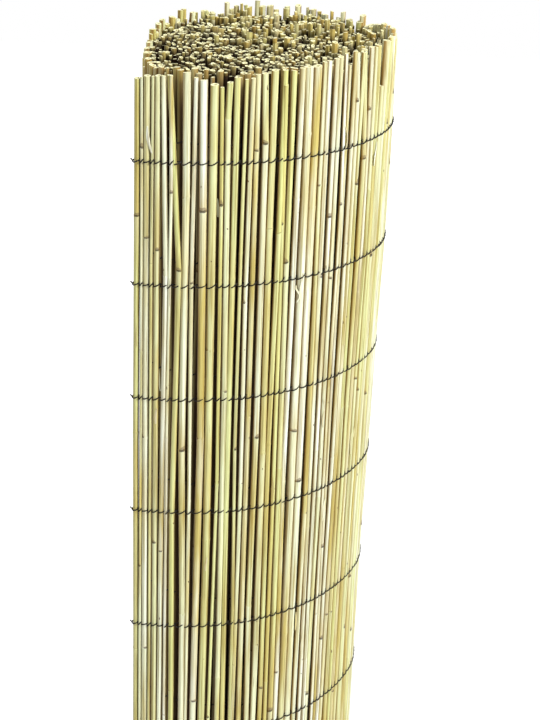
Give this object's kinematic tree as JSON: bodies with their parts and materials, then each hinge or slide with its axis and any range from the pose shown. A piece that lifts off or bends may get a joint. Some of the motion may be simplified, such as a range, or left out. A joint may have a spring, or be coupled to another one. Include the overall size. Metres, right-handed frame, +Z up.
{
  "type": "reed screening roll",
  "caption": "Rolled mat of peeled reed canes bound with thin wire, standing on end with its loose end sprung open in front.",
  "frame": {"origin": "centre of the roll's foot, on its axis at the floor", "axes": "+Z up along the canes, -Y towards the loose end of the mat, +X to the right seen from that side"},
  "size_m": [0.2009, 0.2425, 1],
  "materials": {
    "reed": "matt",
    "wire": "matt"
  },
  "bodies": {
    "root": {"loose_end_canes": "reed", "outer_turn_canes": "reed", "inner_turns": "reed", "binding_wires": "wire"}
  },
  "joints": []
}
